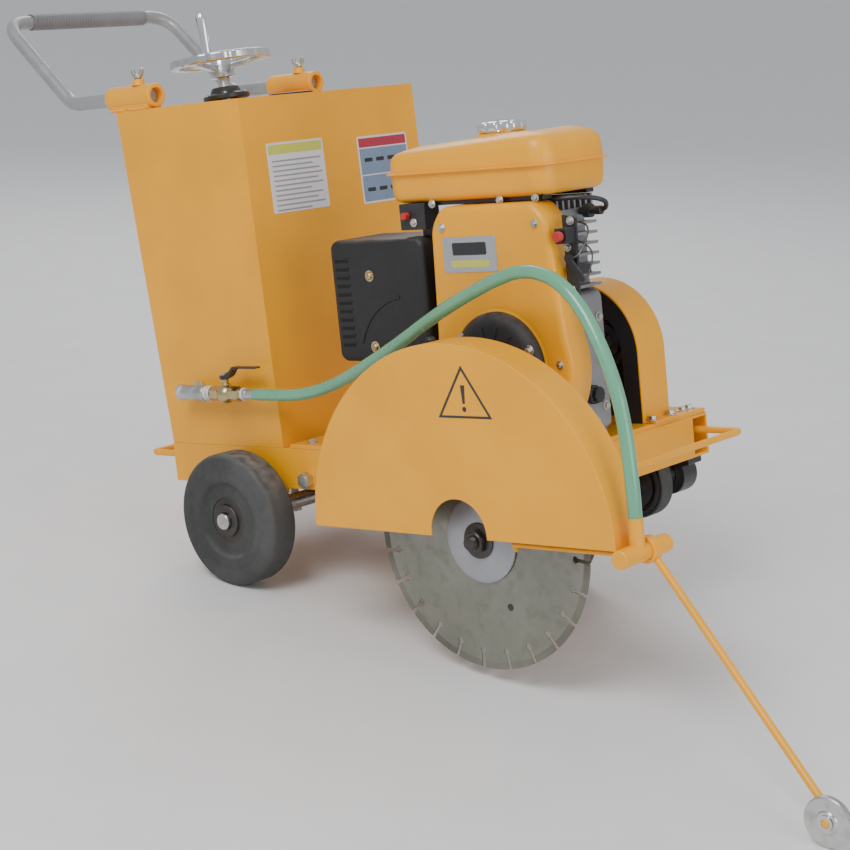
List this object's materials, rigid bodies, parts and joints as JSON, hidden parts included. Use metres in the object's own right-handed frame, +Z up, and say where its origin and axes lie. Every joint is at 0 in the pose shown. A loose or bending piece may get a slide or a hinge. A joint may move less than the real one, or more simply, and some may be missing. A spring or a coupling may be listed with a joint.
{
  "type": "walk-behind concrete saw",
  "caption": "Walk-behind floor saw with a petrol engine on a wheeled frame, a water tank, a guarded diamond blade, a handwheel for depth and a folding front pointer.",
  "frame": {"origin": "middle of the saw's footprint, on the floor it stands on", "axes": "+X forward, the way it cuts; +Y to the machine's left; +Z up. The chassis stands 9 degrees nose up on its wheels, in transport position"},
  "size_m": [1.7438, 0.658, 0.8156],
  "materials": {
    "yellow_paint": "semi-gloss",
    "black_paint": "satin",
    "steel": "machined",
    "blade_steel": "ground",
    "dark_steel": "oxidised",
    "aluminium": "as cast",
    "chrome": "polished",
    "rubber": "matt",
    "grey_tube": "satin",
    "brass": "cast",
    "black_plastic": "moulded",
    "red_plastic": "gloss",
    "hose": "translucent"
  },
  "bodies": {
    "chassis": {"chassis_rail_right": "yellow_paint", "chassis_rail_left": "yellow_paint", "rear_cross_member": "yellow_paint", "engine_deck": "yellow_paint", "front_bumper": "yellow_paint", "rear_bumper": "yellow_paint", "water_tank": "yellow_paint", "handwheel_bearing": "black_paint", "handle_clamp_right": "yellow_paint", "handle_clamp_left": "yellow_paint", "pivot_shaft": "steel", "rear_axle": "steel", "bearing_block_right": "black_paint", "bearing_block_left": "black_paint", "drive_belts": "rubber", "belt_guard": "yellow_paint", "blade_guard": "yellow_paint", "water_manifold": "yellow_paint", "pipe_elbow": "steel", "valve_body": "brass", "water_hose": "hose", "crankcase": "aluminium", "cylinder": "aluminium", "cylinder_head": "aluminium", "spark_plug": "aluminium", "fan_shroud": "yellow_paint", "recoil_starter": "black_plastic", "fuel_tank": "yellow_paint", "air_cleaner_cover": "black_plastic", "carburettor": "aluminium", "muffler": "dark_steel", "control_bracket": "black_paint"},
    "handle": {"handle_bar": "grey_tube", "handle_grip": "grey_tube"},
    "wing_bolt_right": {"wing_bolt_right": "dark_steel"},
    "wing_bolt_left": {"wing_bolt_left": "dark_steel"},
    "tank_filler_cap": {"tank_filler_cap": "black_plastic"},
    "fuel_cap": {"fuel_cap": "chrome"},
    "lift_wheel": {"handwheel": "chrome", "lift_screw": "steel"},
    "spinner_grip": {"handwheel_grip": "chrome"},
    "lift_nut": {"lift_nut": "brass"},
    "depth_frame": {"depth_frame": "black_paint"},
    "front_wheel_right": {"front_wheel_right": "rubber"},
    "front_wheel_left": {"front_wheel_left": "rubber"},
    "rear_wheel_right": {"rear_wheel_right": "rubber"},
    "rear_wheel_left": {"rear_wheel_left": "rubber"},
    "blade_set": {"saw_blade": "blade_steel", "outer_flange": "steel", "arbor_nut": "dark_steel", "blade_shaft": "steel", "driven_pulley": "black_paint"},
    "crank_set": {"crankshaft": "steel", "drive_pulley": "black_paint"},
    "valve_lever": {"valve_lever": "black_paint"},
    "throttle_lever": {"throttle_lever": "black_paint"},
    "stop_switch": {"stop_switch": "red_plastic"},
    "recoil_handle": {"recoil_handle": "black_plastic"},
    "pointer_rod": {"pointer_rod": "yellow_paint"},
    "pointer_wheel": {"pointer_wheel": "steel"}
  },
  "joints": [
    {"name": "handle_slide", "type": "slide", "parent": "chassis", "child": "handle", "axis": [0.9877, 0, 0.1564], "range_m": [-0.04, 0.08]},
    {"name": "wing_bolt_right_turn", "type": "hinge", "parent": "chassis", "child": "wing_bolt_right", "pos_m": [-0.53028, -0.107, 0.69814], "axis": [-0.1564, 0, 0.9877], "range_deg": [0, 720]},
    {"name": "wing_bolt_left_turn", "type": "hinge", "parent": "chassis", "child": "wing_bolt_left", "pos_m": [-0.53028, 0.239, 0.69814], "axis": [-0.1564, 0, 0.9877], "range_deg": [0, 720]},
    {"name": "tank_cap_lift", "type": "slide", "parent": "chassis", "child": "tank_filler_cap", "axis": [-0.1564, 0, 0.9877], "range_m": [0, 0.05]},
    {"name": "fuel_cap_turn", "type": "hinge", "parent": "chassis", "child": "fuel_cap", "pos_m": [0.10481, -0.014, 0.69647], "axis": [-0.1564, 0, 0.9877], "range_deg": [0, 90]},
    {"name": "handwheel_turn", "type": "hinge", "parent": "chassis", "child": "lift_wheel", "pos_m": [-0.52248, 0.067, 0.68014], "axis": [-0.2377, 0, 0.9713], "range_deg": [-360, 3240]},
    {"name": "spinner_grip_spin", "type": "hinge", "parent": "lift_wheel", "child": "spinner_grip", "pos_m": [-0.60078, 0.10127, 0.72893], "axis": [-0.2377, 0, 0.9713], "continuous": true},
    {"name": "lift_nut_travel", "type": "slide", "parent": "chassis", "child": "lift_nut", "axis": [-0.2377, 0, 0.9713], "range_m": [-0.08, 0.012]},
    {"name": "depth_frame_pivot", "type": "hinge", "parent": "chassis", "child": "depth_frame", "pos_m": [-0.15343, 0.067, 0.17263], "axis": [0, 1, 0], "range_deg": [-18.2, 2.2]},
    {"name": "front_wheel_right_spin", "type": "hinge", "parent": "depth_frame", "child": "front_wheel_right", "pos_m": [0.07421, -0.047, 0.065], "axis": [0, 1, 0], "continuous": true},
    {"name": "front_wheel_left_spin", "type": "hinge", "parent": "depth_frame", "child": "front_wheel_left", "pos_m": [0.07421, 0.181, 0.065], "axis": [0, 1, 0], "continuous": true},
    {"name": "rear_wheel_right_spin", "type": "hinge", "parent": "chassis", "child": "rear_wheel_right", "pos_m": [-0.26038, -0.162, 0.1], "axis": [0, 1, 0], "continuous": true},
    {"name": "rear_wheel_left_spin", "type": "hinge", "parent": "chassis", "child": "rear_wheel_left", "pos_m": [-0.26038, 0.296, 0.1], "axis": [0, 1, 0], "continuous": true},
    {"name": "blade_spin", "type": "hinge", "parent": "chassis", "child": "blade_set", "pos_m": [0.2464, -0.207, 0.19242], "axis": [0, 1, 0], "continuous": true},
    {"name": "crank_spin", "type": "hinge", "parent": "chassis", "child": "crank_set", "pos_m": [0.18392, 0.067, 0.39514], "axis": [0, 1, 0], "continuous": true},
    {"name": "valve_lever_turn", "type": "hinge", "parent": "chassis", "child": "valve_lever", "pos_m": [-0.29821, -0.149, 0.28131], "axis": [-0.1564, 0, 0.9877], "range_deg": [-90, 0]},
    {"name": "throttle_lever_turn", "type": "hinge", "parent": "chassis", "child": "throttle_lever", "pos_m": [0.27924, -0.084, 0.554], "axis": [0, 1, 0], "range_deg": [-35, 10]},
    {"name": "stop_switch_press", "type": "slide", "parent": "chassis", "child": "stop_switch", "axis": [0, 1, 0], "range_m": [0, 0.003], "stiffness_N_per_m": 300},
    {"name": "recoil_pull", "type": "slide", "parent": "chassis", "child": "recoil_handle", "axis": [-0.9877, 0, -0.1564], "range_m": [0, 0.28], "stiffness_N_per_m": 25},
    {"name": "pointer_fold", "type": "hinge", "parent": "chassis", "child": "pointer_rod", "pos_m": [0.51182, -0.212, 0.24255], "axis": [0, 1, 0], "range_deg": [-105, 12]},
    {"name": "pointer_wheel_spin", "type": "hinge", "parent": "pointer_rod", "child": "pointer_wheel", "pos_m": [0.84208, -0.321, 0.0304], "axis": [0, 1, 0], "continuous": true}
  ],
  "couplings": [
    {"joint": "depth_frame_pivot", "follows": "handwheel_turn", "ratio": -0.0055556},
    {"joint": "lift_nut_travel", "follows": "handwheel_turn", "m_per_rad": -0.0013529},
    {"joint": "crank_spin", "follows": "blade_spin", "ratio": 1.1944}
  ]
}
